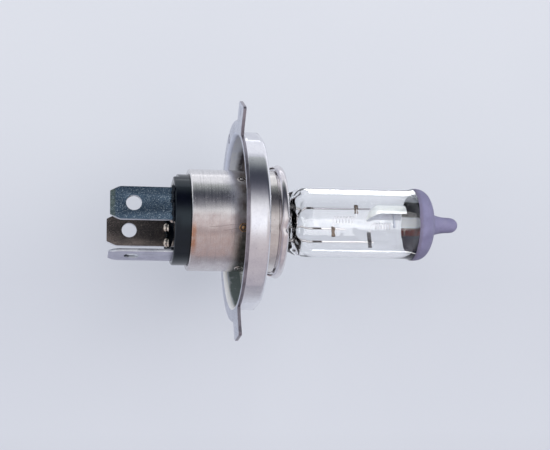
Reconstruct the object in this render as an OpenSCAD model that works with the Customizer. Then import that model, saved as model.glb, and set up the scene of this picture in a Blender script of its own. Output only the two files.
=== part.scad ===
// Twin-filament halogen headlight bulb with a 43 mm three-lug locating ring.
// +X runs along the lamp axis to the glass tip. X = 0 is the glass-side face of
// the three lugs. The main lug points to -Z. Directions across the lamp are
// given as (u, w): u is the open side of the blade U, w the near blade's normal.

/* [Locating ring] */
// Outside diameter of the ring that locates the bulb in the lamp
ring_d = 43; // [30:0.1:60]
// Sheet thickness of the ring, its lip and its lugs
ring_t = 0.8; // [0.4:0.1:1.5]
// Height of the cup from the lug faces to its front web
cup_h = 5; // [3:0.1:8]
// Outer radius of the lip on the main lug's side
lip_r = 24.3; // [22.5:0.1:27]
// Outer radius of the lip between the two upper lugs
lip_near_r = 22.4; // [22:0.1:25]
// Radius to the lug tips
lug_r = 28.9; // [25:0.1:32]
// Width of each lug
lug_w = 7.3; // [4:0.1:10]
// Angle from the main lug to each side lug
lug_angle = 107; // [90:1:130]
// Diameter of the tooling hole in the lip
tool_hole_d = 2.4; // [1:0.1:3]

/* [Metal base] */
// Outer diameter of the rear barrel
barrel_d = 24.5; // [18:0.1:30]
// Wall of the barrel
barrel_t = 0.5; // [0.3:0.1:1]
// How far the barrel reaches behind the lug faces
barrel_back = 12; // [8:0.1:20]
// Number of spot welds round the barrel
weld_count = 6; // [3:1:8]
// Outer radius of the collar in front of the ring
collar_r = 12.4; // [10:0.1:16]
// Position of the collar's front edge
collar_x = 8.6; // [6:0.1:12]
// Outer radius of the retainer's rounded rim
retainer_r = 13.8; // [12:0.1:16]
// Thickness of the retainer's rim along the axis
retainer_h = 2.1; // [1:0.1:4]

/* [Plug end] */
// Radius of the black insulator
insulator_r = 10.95; // [8:0.05:11.4]
// Position of the insulator's rear face
insulator_back = 15.8; // [13:0.1:20]
// Width of each blade terminal
blade_w = 8; // [5:0.1:10]
// Thickness of each blade terminal
blade_t = 0.8; // [0.5:0.1:1.2]
// Free length of each blade behind the insulator
blade_l = 15; // [8:0.1:20]
// Diameter of the latch hole in each blade
blade_hole_d = 3.6; // [2:0.1:4]
// Distance from the latch hole's centre to the blade's tip
blade_hole_x = 5.5; // [3:0.1:8]
// Distance from the axis to each parallel blade
blade_side = 9.2; // [7:0.1:10]
// Distance from the axis to the crosswise blade
blade_top = 8.8; // [7:0.1:10]

/* [Glass] */
// Outer radius of the quartz tube
tube_r = 8.45; // [6:0.05:10]
// Wall of the quartz tube
tube_t = 1.1; // [0.7:0.1:1.6]
// Where the full round tube starts
tube_x = 16; // [15.5:0.1:17]
// Where the hollow inside the tube starts
cavity_x = 13.6; // [13:0.1:14.5]
// Thickness of the painted glare cap
paint_t = 0.15; // [0.05:0.05:0.4]
// Half width of the pinch seal
pinch_u = 7; // [5:0.1:9]
// Half thickness of the pinch seal
pinch_w = 2.2; // [1.5:0.1:3]
// Rear end of the pinch seal
pinch_back = 3.5; // [0:0.1:6]

/* [Filaments and supports] */
// Diameter of the three support wires
wire_d = 0.7; // [0.5:0.05:1]
// Outer diameter of both filament coils
coil_d = 1.8; // [1:0.05:2.4]
// Diameter of the tungsten wire
coil_wire_d = 0.34; // [0.15:0.01:0.5]
// Length of the high-beam coil
high_len = 5.2; // [4:0.1:7]
// Length of the low-beam coil
low_len = 4.9; // [4:0.1:7]
// Inner radius of the boat-shaped shield
shield_r = 2.6; // [2:0.1:4]

/* [Hidden] */
ring_r = ring_d / 2;
barrel_r = barrel_d / 2;
bore_r = barrel_r - barrel_t;        // inside of the barrel
neck_r = bore_r - 0.6;               // inside of the ring's neck
web_x = cup_h - ring_t;              // rear face of the ring's web
tilt = lug_angle - 90;               // u and w against Y and Z
ret_x = collar_x + retainer_h;       // front face of the retainer
near_mid = -1;                       // where the parallel blades sit along u
far_mid = 0.2;
blade_end = 7.6;                     // inner end of each blade
u_common = -3.76;                    // support wires across the pinch
u_high = 1.46;
u_low = 4.7;
foil_x0 = -0.5;                      // ends of the sealing foils
foil_x1 = 8.5;
foil_w = 2.5;
foil_t = 0.12;
lead_d = 0.8;
high_x = 24.2;                       // rear ends of the coils
low_x = 34.0;
high_y = 0.7;                        // coil axes, across the lamp
low_y = -0.3;
shield_x0 = 32.4;                    // ends of the shield
shield_x1 = 42;
shield_u = -1.9;                     // the shield's rim
shield_t = 0.3;

// ---- helpers ----
// Turn a flat [radius, x] outline about the lamp axis
module turned(n = 180) rotate([0, 90, 0]) rotate_extrude($fn = n) children();
// A round bar along X
module bar_x(x0, x1, r, n = 32)
    translate([x0, 0, 0]) rotate([0, 90, 0]) cylinder(r = r, h = x1 - x0, $fn = n);
// Put children drawn with local axes (X, u, w) into the lamp frame
module uw() multmatrix([[1, 0, 0, 0],
                        [0, -cos(tilt), sin(tilt), 0],
                        [0, sin(tilt), cos(tilt), 0]]) children();
// A box by its two corners
module box(a, b) translate(a) cube(b - a);
// Children repeated at the three lugs, drawn for a lug that points to -Z
module at_lugs() for (a = [0, lug_angle, -lug_angle]) rotate([a, 0, 0]) children();
// A round bar from a to b
module rod(a, b, r, n = 24) {
    d = b - a; l = norm(d);
    translate(a) rotate([0, acos(d[2] / l), atan2(d[1], d[0])])
        cylinder(r = r, h = l, $fn = n);
}
// A wire through a list of points with round corners
module wire(p, r, n = 24) {
    for (i = [0 : len(p) - 2]) rod(p[i], p[i + 1], r, n);
    for (i = [1 : len(p) - 2]) translate(p[i]) sphere(r = r * 1.08, $fn = n);
}
// Points of an arc in an outline, centre c, radius r, from angle a to b
function arc(c, r, a, b, n = 6) =
    [for (i = [0 : n]) let (t = a + (b - a) * i / n) [c[0] + r * cos(t), c[1] + r * sin(t)]];

// ---- locating ring ----
module ring_outline() {
    b = 1; // outer bend radius
    i = b - ring_t;
    polygon(concat(
        [[lip_near_r, -ring_t], [lip_near_r, 0]],
        arc([ring_r + i, i], i, 270, 180, 3),
        arc([ring_r - b, cup_h - b], b, 0, 90),
        arc([neck_r + b, cup_h - b], b, 90, 180),
        [[neck_r, -3], [bore_r, -3]],
        arc([neck_r + b, cup_h - b], b - 0.6, 180, 90, 3),
        [[neck_r + b + 0.4, web_x]],
        arc([ring_r - b, cup_h - b], i, 90, 0, 3),
        arc([ring_r + i, i], b, 180, 270)));
}
module lip_sector(a, r)
    rotate([0, 90, 0]) rotate([0, 0, -a]) rotate_extrude(angle = 2 * a, $fn = 180)
        polygon([[ring_r + 0.4, -ring_t], [r, -ring_t], [r, 0], [ring_r + 0.4, 0]]);
module lug() {
    tip = 0.8;
    rotate([0, 90, 0]) translate([0, 0, -ring_t]) linear_extrude(ring_t)
        polygon([[ring_r + 0.4, -lug_w / 2], [lug_r - tip, -lug_w / 2],
            [lug_r - tip * 0.3, -lug_w / 2 + tip * 0.3], [lug_r, -lug_w / 2 + tip],
            [lug_r, lug_w / 2 - tip], [lug_r - tip * 0.3, lug_w / 2 - tip * 0.3],
            [lug_r - tip, lug_w / 2], [ring_r + 0.4, lug_w / 2]]);
    // pip pressed through near the tip
    translate([-0.6, 0, -lug_r + 1.7]) sphere(r = 1, $fn = 32);
}
module flange_ring() color([0.78, 0.79, 0.82]) {
    flat = sqrt(pow(ring_r, 2) - pow(lug_w / 2, 2)) - 0.05;
    difference() {
        union() {
            turned() ring_outline();
            lip_sector(lug_angle, lip_r);
            at_lugs() lug();
        }
        // flats on the cup under the lugs, with a slanted front corner
        at_lugs() {
            box([0.9, -lug_w, -ring_r - 1], [cup_h + 1, lug_w, -flat]);
            translate([cup_h - 1.3, -lug_w, -flat]) rotate([0, 30, 0])
                translate([0, 0, -2]) cube([4, 2 * lug_w, 2]);
        }
        // hollow backs of the pips
        at_lugs() translate([-1.35, 0, -lug_r + 1.7]) sphere(r = 1, $fn = 32);
        // tooling hole in the lip
        rotate([180 - 26 - 90, 0, 0]) translate([-2, 0, -lip_r + 1.5])
            rotate([0, 90, 0]) cylinder(d = tool_hole_d, h = 4, $fn = 48);
    }
}
module flange_collar() color([0.8, 0.78, 0.72]) turned() {
    t = 0.6;
    polygon(concat(
        [[collar_r + 1.3, cup_h], [collar_r + 1.3, cup_h + 0.25]],
        arc([collar_r + 0.9, cup_h + 1.15], 0.9, 270, 180, 4),
        [[collar_r, collar_x - 0.3], [collar_r - 0.2, collar_x],
         [collar_r - t, collar_x], [collar_r - t, cup_h]]));
}
module retainer_ring() color([0.82, 0.8, 0.78]) turned() {
    t = 0.5; r = 0.9;
    polygon(concat(
        [[collar_r - 0.7, cup_h + 0.4], [collar_r - 0.7, collar_x + 0.35],
         [retainer_r - 0.8, collar_x + 0.1], [retainer_r - 0.3, collar_x + 0.2]],
        [[retainer_r, collar_x + 0.6]],
        arc([retainer_r - r, ret_x - r], r, 0, 90),
        [[9.5, ret_x], [8.9, ret_x - 0.3], [8.9, ret_x - 0.9], [9.4, ret_x - 0.6],
         [retainer_r - 1.5, ret_x - 0.6], [retainer_r - 0.9, ret_x - 1],
         [retainer_r - 1, collar_x + 0.75], [collar_r - 1.3, collar_x + 0.85],
         [collar_r - 1.3, cup_h + 0.4]]));
}
module retainer_tabs() color([0.75, 0.74, 0.72])
    for (a = [85, -85, 0]) rotate([a, 0, 0]) translate([collar_x - 1.1, 0, -collar_r])
        difference() {
            rotate([0, 90, 0]) cylinder(r = 1.2, h = 1.1, $fn = 32);
            box([-1, -2, 0.0], [3, 2, 2]);
            rotate([0, 90, 0]) translate([-collar_r, 0, -1]) cylinder(r = collar_r, h = 4, $fn = 180);
        }

// ---- barrel ----
module base_barrel() color([0.8, 0.78, 0.76]) turned() {
    r = 0.6;
    polygon(concat(
        [[bore_r, web_x - 0.4], [barrel_r, web_x - 0.4]],
        arc([barrel_r - r, -barrel_back + r], r, 0, -90),
        [[insulator_r + 0.05, -barrel_back], [insulator_r + 0.05, -barrel_back + barrel_t],
         [bore_r - 0.1, -barrel_back + barrel_t], [bore_r, -barrel_back + barrel_t + 0.1]]));
}
module barrel_weld_spots() color([0.6, 0.55, 0.5]) {
    n = weld_count;
    difference() {
        for (i = [0 : n - 1]) rotate([180 + 7 + i * 360 / n, 0, 0])
            translate([0, 0, -barrel_r + 1]) sphere(r = 1.2, $fn = 32);
        bar_x(-2, 2, barrel_r, 180);
    }
}

// ---- plug end ----
module blade_slot(extra) {
    box([-insulator_back - 1, -blade_w / 2 - extra, -blade_t / 2 - extra],
        [-5, blade_w / 2 + extra, blade_t / 2 + extra]);
}
// Places for the three blades: near, far, crosswise
module at_near() uw() translate([0, near_mid, blade_side]) children();
module at_far() uw() translate([0, far_mid, -blade_side]) mirror([0, 0, 1]) children();
module at_cross() uw() translate([0, blade_top, 0]) rotate([-90, 0, 0]) children();
module insulator() color([0.1, 0.1, 0.12]) difference() {
    union() {
        turned() polygon([[0, -insulator_back], [insulator_r - 0.5, -insulator_back],
            [insulator_r, -insulator_back + 0.5], [insulator_r, -barrel_back + barrel_t],
            [bore_r - 0.15, -barrel_back + barrel_t], [bore_r - 0.15, -9.6],
            [bore_r - 0.6, -9.2], [0, -9.2]]);
    }
    at_near() blade_slot(0);
    at_far() blade_slot(0);
    at_cross() blade_slot(0);
    // shallow well between the blades
    uw() box([-insulator_back - 1, -7.2, -6.6], [-insulator_back + 0.8, 6.4, 6.6]);
    // step along the rear edge on the open side
    uw() box([-insulator_back - 1, -12, -12], [-insulator_back + 1.2, -8.6, 12]);
    // bores for the stake beads
    at_near() stakes(0);
    at_far() stakes(0);
}
module stakes(grow) for (v = [-0.6, 3.2])
    translate([-insulator_back + 0.1, v, -blade_t / 2 - 0.55]) sphere(r = 0.8 + grow, $fn = 32);
module blade() {
    x0 = -insulator_back - blade_l;
    h = blade_w / 2; c = 1.1; l = 2.3;
    difference() {
        union() {
            translate([0, 0, -blade_t / 2]) linear_extrude(blade_t)
                polygon([[x0, h - c], [x0 + l, h], [-blade_end - 1.6, h],
                    [-blade_end - 1.6, 2], [-blade_end, 2], [-blade_end, -2],
                    [-blade_end - 1.6, -2], [-blade_end - 1.6, -h], [x0 + l, -h], [x0, -h + c]]);
        }
        // coined bevels at the tip
        for (s = [0, 1]) mirror([0, 0, s]) translate([x0, -h - 1, 0.12])
            rotate([0, -12, 0]) translate([-2, 0, 0]) cube([3.3, 2 * h + 2, 1]);
        translate([x0 + blade_hole_x, 0, -2]) cylinder(d = blade_hole_d, h = 4, $fn = 64);
    }
}
module terminal_high_beam() color([0.4, 0.45, 0.5]) at_near() blade();
module terminal_common() color([0.3, 0.28, 0.27]) at_far() blade();
module terminal_low_beam() color([0.6, 0.6, 0.68]) at_cross() blade();
module terminal_stakes() color([0.7, 0.66, 0.6]) difference() {
    union() { at_near() stakes(0); at_far() stakes(0); }
    at_near() blade_slot(0);
    at_far() blade_slot(0);
}

// ---- glass ----
// Outline of the closed end: x rises, e is added outside
dome = [[8.45, 41.0], [8.52, 42.2], [8.7, 43.35], [8.8, 44.2], [8.76, 44.9], [8.6, 45.6],
    [8.3, 46.25], [7.8, 46.9], [7.1, 47.4], [6.2, 47.85], [5.2, 48.15], [4.2, 48.4],
    [3.4, 48.65], [2.8, 49.0], [2.45, 49.5], [2.2, 50.1], [2.0, 50.9], [1.86, 51.8],
    [1.78, 52.8], [1.76, 53.5], [1.62, 54.3], [1.25, 54.95], [0.7, 55.4], [0, 55.55]];
function out(i, e) =
    let (a = dome[max(i - 1, 0)], b = dome[min(i + 1, len(dome) - 1)],
         d = i == len(dome) - 1 ? [-1, 0] : b - a, l = norm(d))
    [max(dome[i][0] + e * d[1] / l, 0), dome[i][1] - e * d[0] / l];
module pinch_body() uw() {
    hull() {
        box([9.6, -pinch_u, -pinch_w], [9.8, pinch_u, pinch_w]);
        translate([tube_x, 0, 0]) rotate([0, 90, 0]) cylinder(r = tube_r - 0.06, h = 0.4, $fn = 32);
    }
    box([-pinch_back, -pinch_u, -pinch_w], [9.75, pinch_u, pinch_w]);
}
module glass_envelope() color([0.8, 0.9, 0.95, 0.35]) difference() {
    r = tube_r - tube_t;
    union() {
        turned() polygon(concat([[0, tube_x + 0.3], [tube_r, tube_x + 0.3]],
            dome));
        pinch_body();
    }
    turned() polygon([[0, cavity_x], [2.5, cavity_x + 0.1], [4.6, cavity_x + 0.6],
        [6.2, cavity_x + 1.6], [r, cavity_x + 3], [r, 43.6], [r - 0.15, 44.5], [r - 0.7, 45.5],
        [r - 1.8, 46.3], [r - 3.4, 46.9], [2.2, 47.3], [1.1, 47.9], [0.6, 49], [0, 49.6]]);
    // passages sealed round the wires and foils
    uw() {
        for (u = [u_common, u_high, u_low]) translate([0, u, 0]) {
            bar_x(foil_x1 - 1.2, cavity_x + 3, wire_d / 2);
            bar_x(-pinch_back - 1, foil_x0 + 1.2, lead_d / 2);
            foil();
        }
    }
}
module foil() box([foil_x0, -foil_w / 2, -foil_t / 2], [foil_x1, foil_w / 2, foil_t / 2]);
module foil_at(u) uw() difference() {
    translate([0, u, 0]) foil();
    translate([0, u, 0]) bar_x(foil_x1 - 1.2, foil_x1 + 1, wire_d / 2);
    translate([0, u, 0]) bar_x(foil_x0 - 1, foil_x0 + 1.2, lead_d / 2);
}
module foil_common() color([0.55, 0.55, 0.58]) foil_at(u_common);
module foil_high_beam() color([0.55, 0.55, 0.58]) foil_at(u_high);
module foil_low_beam() color([0.55, 0.55, 0.58]) foil_at(u_low);
module glare_cap() color([0.45, 0.45, 0.58]) turned()
    polygon(concat(
        [for (i = [2 : len(dome) - 1]) out(i, paint_t)],
        [for (i = [len(dome) - 1 : -1 : 2]) dome[i]]));

// ---- pinch clamp and leads ----
module pinch_clamp() color([0.72, 0.72, 0.72]) uw() {
    t = 0.4;
    difference() {
        box([1.5, -pinch_u - 0.45 - t, -pinch_w - 0.45 - t], [7.5, pinch_u + 0.45 + t, pinch_w + 0.45 + t]);
        box([0.5, -pinch_u - 0.45, -pinch_w - 0.45], [8.5, pinch_u + 0.45, pinch_w + 0.45]);
    }
    // tongues out to the sleeve of the retainer
    for (s = [-1, 1]) {
        intersection() {
            bar_x(5.6, 6.2, collar_r - 1.3, 180);
            box([5, s * 6 - 3.9, s > 0 ? pinch_w + 0.45 + t - 0.1 : -12],
                [7, s * 6 + 3.9, s > 0 ? 12 : -pinch_w - 0.45 - t + 0.1]);
        }
        // springs pressed on the flat of the seal
        box([3, -1.5, s > 0 ? pinch_w : -pinch_w - 0.5], [5, 1.5, s > 0 ? pinch_w + 0.5 : -pinch_w]);
    }
}
module lead_common() color([0.75, 0.7, 0.6]) uw()
    wire([[foil_x0 + 1.2, u_common, 0], [-4.4, u_common, 0],
        [-6.6, -1.4, -blade_side + blade_t / 2 + lead_d / 2],
        [-9, -1.4, -blade_side + blade_t / 2 + lead_d / 2]], lead_d / 2);
module lead_high_beam() color([0.75, 0.7, 0.6]) uw()
    wire([[foil_x0 + 1.2, u_high, 0], [-4.4, u_high, 0],
        [-6.6, -1.3, blade_side - blade_t / 2 - lead_d / 2],
        [-9, -1.3, blade_side - blade_t / 2 - lead_d / 2]], lead_d / 2);
module lead_low_beam() color([0.75, 0.7, 0.6]) uw()
    wire([[foil_x0 + 1.2, u_low, 0], [-4.4, u_low, 0],
        [-6.6, blade_top - blade_t / 2 - lead_d / 2, 0],
        [-9, blade_top - blade_t / 2 - lead_d / 2, 0]], lead_d / 2);

// ---- supports, coils and shield ----
module support(u, x1) uw() translate([0, u, 0]) bar_x(foil_x1 - 1.2, x1, wire_d / 2);
module support_wire_common() color([0.6, 0.55, 0.5]) support(u_common, 33.2);
module support_wire_high_beam() color([0.6, 0.5, 0.4]) support(u_high, 26.4);
module support_wire_low_beam() color([0.6, 0.55, 0.5]) support(u_low, 33.6);
// A folded strip from the support wire at u to the coil tail at height y
module clamp(x, u, y, l) color([0.65, 0.45, 0.3]) difference() {
    yw = -u * cos(tilt); zw = u * sin(tilt);      // where the wire runs
    union() {
        translate([x, yw, zw]) rotate([0, 90, 0]) cylinder(r = wire_d / 2 + 0.3, h = l, $fn = 32);
        translate([x, y, 0]) rotate([0, 90, 0]) cylinder(r = 0.5, h = l, $fn = 24);
        translate([x, yw, zw]) rotate([atan2(-zw, y - yw), 0, 0])
            translate([0, 0, -0.2]) cube([l, norm([y - yw, zw]), 0.4]);
    }
    translate([x - 1, yw, zw]) rotate([0, 90, 0]) cylinder(r = wire_d / 2, h = l + 2, $fn = 32);
    translate([x - 1, y, 0]) rotate([0, 90, 0]) cylinder(r = coil_wire_d / 2, h = l + 2, $fn = 16);
}
module high_beam_rear_clamp() clamp(high_x - 1.6, u_high, high_y, 1.1);
module high_beam_front_clamp() clamp(high_x + high_len + 0.4, u_common, high_y, 1);
module low_beam_rear_clamp() clamp(low_x - 1.4, u_low, low_y, 0.9);
// One coil: a helix of square-edged wire round an axis along X
module coil(x, y, l, turns, seg = 18, sides = 6) {
    r = coil_wire_d / 2; c = coil_d / 2 - r;
    n = turns * seg;
    pts = [for (i = [0 : n], j = [0 : sides - 1])
        let (a = 360 * i / seg, b = 360 * j / sides)
        [x + l * i / n + r * sin(b), y + (c + r * cos(b)) * cos(a), (c + r * cos(b)) * sin(a)]];
    side = [for (i = [0 : n - 1], j = [0 : sides - 1])
        let (k = (j + 1) % sides, a = i * sides, b = (i + 1) * sides)
        [a + j, a + k, b + k, b + j]];
    polyhedron(pts, concat(side,
        [[for (j = [sides - 1 : -1 : 0]) j]], [[for (j = [0 : sides - 1]) n * sides + j]]), 6);
}
module filament(x, y, l, turns, back, front) {
    c = coil_d / 2 - coil_wire_d / 2; r = coil_wire_d / 2;
    coil(x, y, l, turns);
    wire([[x - back, y, 0], [x - 0.25, y, 0], [x, y + c, 0]], r, 12);
    wire([[x + l, y + c, 0], [x + l + 0.25, y, 0], [x + l + front, y, 0]], r, 12);
}
module filament_high_beam() color([0.5, 0.5, 0.52]) filament(high_x, high_y, high_len, 8, 1.5, 1.3);
module filament_low_beam() color([0.5, 0.5, 0.52]) filament(low_x, low_y, low_len, 8, 1.4, 0.9);
module glare_shield() color([0.85, 0.85, 0.83]) uw() {
    ro = shield_r + shield_t;
    difference() {
        translate([0, shield_u, 0]) union() {
            bar_x(shield_x0 + ro * 0.6, shield_x1, ro, 64);
            translate([shield_x0 + ro * 0.6, 0, 0]) scale([0.6, 1, 1]) sphere(r = ro, $fn = 64);
        }
        translate([0, shield_u, 0]) {
            bar_x(shield_x0 + ro * 0.6, shield_x1 + 1, shield_r, 64);
            translate([shield_x0 + ro * 0.6, 0, 0]) scale([0.6, 1, 1]) sphere(r = shield_r, $fn = 64);
        }
        box([30, shield_u, -5], [45, 8, 5]);
        translate([0, u_common, 0]) bar_x(30, 34.5, wire_d / 2);
    }
}
module low_beam_front_strap() color([0.65, 0.6, 0.55]) difference() {
    uw() box([low_x + low_len + 0.3, -4.55, -0.5], [low_x + low_len + 0.7, 0.9, 0.5]);
    translate([30, low_y, 0]) rotate([0, 90, 0]) cylinder(r = coil_wire_d / 2, h = 12, $fn = 16);
}

flange_ring();
flange_collar();
retainer_ring();
retainer_tabs();
base_barrel();
barrel_weld_spots();
insulator();
terminal_common();
terminal_high_beam();
terminal_low_beam();
terminal_stakes();
pinch_clamp();
glass_envelope();
glare_cap();
foil_common();
foil_high_beam();
foil_low_beam();
lead_common();
lead_high_beam();
lead_low_beam();
support_wire_common();
support_wire_high_beam();
support_wire_low_beam();
high_beam_rear_clamp();
high_beam_front_clamp();
low_beam_rear_clamp();
low_beam_front_strap();
glare_shield();
filament_high_beam();
filament_low_beam();
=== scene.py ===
"""Looks of the twin-filament headlight bulb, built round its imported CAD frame. Metres, +X along the lamp axis."""

import math

import bmesh
import bpy
from mathutils import Matrix, Vector, noise


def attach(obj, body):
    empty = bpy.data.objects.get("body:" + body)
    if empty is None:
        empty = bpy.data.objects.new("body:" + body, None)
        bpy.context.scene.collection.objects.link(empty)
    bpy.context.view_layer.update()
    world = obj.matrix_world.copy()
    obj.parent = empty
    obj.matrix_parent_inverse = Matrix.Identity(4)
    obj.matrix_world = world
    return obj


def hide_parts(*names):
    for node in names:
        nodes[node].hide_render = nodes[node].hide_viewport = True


MM = 0.001
TILT = math.radians(17)  # the blades' U against -Y
U = Vector((0, -math.cos(TILT), math.sin(TILT)))  # open side of the blades' U
W = Vector((0, math.sin(TILT), math.cos(TILT)))  # normal of the near blade
AXIS = Vector((1, 0, 0))
FLOOR_Z = -29.2 * MM

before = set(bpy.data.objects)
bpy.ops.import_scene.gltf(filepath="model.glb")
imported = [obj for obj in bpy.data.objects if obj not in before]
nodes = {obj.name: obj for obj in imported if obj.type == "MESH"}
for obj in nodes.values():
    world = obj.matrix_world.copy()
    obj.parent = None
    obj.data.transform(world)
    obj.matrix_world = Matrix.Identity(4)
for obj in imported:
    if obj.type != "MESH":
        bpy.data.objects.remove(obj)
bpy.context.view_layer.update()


# ---- materials
HEAT_TINT, SCRATCH_TINT, SCRATCH_HALF = (0.52, 0.22, 0.09), (0.16, 0.11, 0.10), 0.12
# the floor's own light, from 0 at y = -0.2 m to 1 at y = 0.2 m
FLOOR_GLOW = [(0.02, (0.20, 0.195, 0.23)), (0.16, (0.25, 0.25, 0.29)), (0.36, (0.42, 0.445, 0.51)),
              (0.46, (0.40, 0.425, 0.49)), (0.56, (0.458, 0.485, 0.545)), (0.646, (0.48, 0.505, 0.565)),
              (0.9, (0.50, 0.52, 0.57))]


class Nodes:
    """A node tree with short calls for the usual steps."""

    def __init__(self, tree):
        self.t = tree

    def node(self, kind, **props):
        n = self.t.nodes.new("ShaderNode" + kind)
        for k, v in props.items():
            setattr(n, k, v)
        return n

    def link(self, a, b):
        self.t.links.new(a, b)

    def value(self, source, socket):
        """Puts a number, a colour or another socket into a socket."""
        if hasattr(source, "is_linked"):
            self.link(source, socket)
        else:
            socket.default_value = (*source, 1) if hasattr(source, "__len__") else source

    def ramp(self, source, stops, interpolation="LINEAR"):
        """Turns 0 to 1 into the stops' colours or grey levels."""
        r = self.node("ValToRGB")
        r.color_ramp.interpolation = interpolation
        e = r.color_ramp.elements
        while len(e) < len(stops):
            e.new(0.5)
        for el, (pos, col) in zip(e, stops):
            el.position = pos
            el.color = (*col, 1) if hasattr(col, "__len__") else (col, col, col, 1)
        self.link(source, r.inputs["Fac"])
        return r.outputs["Color"]

    def math(self, op, a, b=0.0, clamp=False):
        n = self.node("Math", operation=op, use_clamp=clamp)
        self.value(a, n.inputs[0])
        self.value(b, n.inputs[1])
        return n.outputs[0]

    def times(self, a, b, clamp=False):
        return self.math("MULTIPLY", a, b, clamp)

    def mix(self, fac, a, b, blend="MIX"):
        n = self.node("Mix", data_type="RGBA", blend_type=blend)
        for k, v in ((0, fac), (6, a), (7, b)):
            self.value(v, n.inputs[k])
        return n.outputs[2]


class Material(Nodes):
    """A Principled material whose patterns are fixed to the object."""

    def __init__(self, name, color, **sockets):
        self.m = bpy.data.materials.new(name)
        self.m.use_nodes = True
        super().__init__(self.m.node_tree)
        self.p = self.t.nodes["Principled BSDF"]
        self.p.inputs["Base Color"].default_value = (*color, 1)
        for k, v in sockets.items():
            self.p.inputs[k.replace("_", " ").title().replace("Ior", "IOR")].default_value = v
        self.coord = self.node("TexCoord").outputs["Object"]
        self.height = None

    def noise(self, scale=(1, 1, 1), size=1.0, detail=4.0, rough=0.55, offset=(0, 0, 0)):
        """Noise: size is how many spots to a metre, and scale stretches them."""
        m, n = self.node("Mapping"), self.node("TexNoise")
        self.link(self.coord, m.inputs["Vector"])
        m.inputs["Location"].default_value = offset
        m.inputs["Scale"].default_value = scale
        self.link(m.outputs["Vector"], n.inputs["Vector"])
        for socket, v in (("Scale", size), ("Detail", detail), ("Roughness", rough)):
            n.inputs[socket].default_value = v
        return n.outputs["Fac"]

    def cloud(self, stops, **kind):
        """Noise turned into colours or levels."""
        return self.ramp(self.noise(**kind), stops)

    def axis_value(self, axis):
        s = self.node("SeparateXYZ")
        self.link(self.coord, s.inputs[0])
        return s.outputs[axis]

    def band(self, axis, lo, hi, soft):
        """1 between lo and hi along an axis, in millimetres, with soft ends."""
        v = self.times(self.axis_value(axis), 1000)
        up = self.math("DIVIDE", self.math("SUBTRACT", v, lo - soft), soft, clamp=True)
        down = self.math("DIVIDE", self.math("SUBTRACT", hi + soft, v), soft, clamp=True)
        return self.times(up, down)

    def color(self, source):
        self.link(source, self.p.inputs["Base Color"])

    def rough(self, source):
        self.link(source, self.p.inputs["Roughness"])

    def bump(self, source, strength, distance=0.0001):
        b = self.node("Bump")
        b.inputs["Strength"].default_value = strength
        b.inputs["Distance"].default_value = distance
        self.link(source, b.inputs["Height"])
        if self.height:
            self.link(self.height, b.inputs["Normal"])
        self.height = b.outputs["Normal"]
        self.link(self.height, self.p.inputs["Normal"])


def metal(name, color, dark, rough=0.16, brush=0.0, grain=0.25, painted_light_and_stain=(), dent=0.0, streak=False, scratch=(), heat=None,
          metallic=1.0):
    """Plated sheet metal: patchy tint, fine scratches, faint draw marks round the axis.

    Each entry of the tinted bands is its bands, then tint and amount; on the ring's cup and on the barrel these bands
    are painted shade, painted highlights and painted reflections; a scratch is y, slope and two x; heat is two x and
    its highest y.
    """
    m = Material(name, color, metallic=metallic, roughness=rough)
    c = m.cloud([(0.3, dark), (0.62, color)], size=260, detail=5, rough=0.6)
    # tinted bands; on the ring's cup and the barrel they are painted shade, painted highlights and painted reflections
    for *bands, tint, amount in painted_light_and_stain:
        ragged = m.noise(size=420, detail=4)
        for b in bands:
            ragged = m.times(ragged, m.band(*b))
        c = m.mix(m.times(ragged, amount * 2, clamp=True), c, tint)
    if heat:
        lo, hi, top = heat
        low = m.times(m.band(0, lo, hi, 0.6), m.band(1, -6.0, top, 2.5))
        c = m.mix(m.times(low, m.cloud([(0.3, 0.3), (0.7, 1.0)], size=500, detail=3)), c, HEAT_TINT)
    for y0, slope, x0, x1 in scratch:
        v = m.math("SUBTRACT", m.times(m.axis_value(1), 1000), m.times(m.axis_value(0), 1000 * slope))
        v = m.math("ADD", v, m.times(m.noise(size=300, detail=3), 0.8))
        off = m.math("ABSOLUTE", m.math("SUBTRACT", v, y0))
        line = m.math("SUBTRACT", 1.0, m.math("DIVIDE", off, SCRATCH_HALF), clamp=True)
        c = m.mix(m.times(m.times(line, m.band(0, x0, x1, 0.8)), 0.55), c, SCRATCH_TINT)
    lines = m.noise(scale=(2600, 90, 90) if streak else (5200, 130, 130), detail=4, rough=0.75)
    fine = m.noise(size=1500, detail=5, rough=0.7)
    r = m.ramp(fine, [(0.3, rough * 0.8), (0.7, rough * 1.35)])
    m.rough(m.math("ADD", r, m.times(m.math("SUBTRACT", lines, 0.5), brush), clamp=True))
    if brush:
        c = m.mix(m.ramp(lines, [(0.34, brush), (0.5, 0.0)]), c, tuple(v * 0.6 for v in dark))
    specks = m.cloud([(0.30, 0.55), (0.42, 1.0)], size=2600, detail=2)
    m.color(m.mix(grain, c, m.mix(1.0, c, specks, "MULTIPLY")))
    m.bump(fine, 0.10, 0.00003)
    if brush:
        m.bump(lines, brush, 0.00003)
    if dent:
        m.bump(m.noise(size=210, detail=2), dent, 0.0004)
    return m.m


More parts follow.
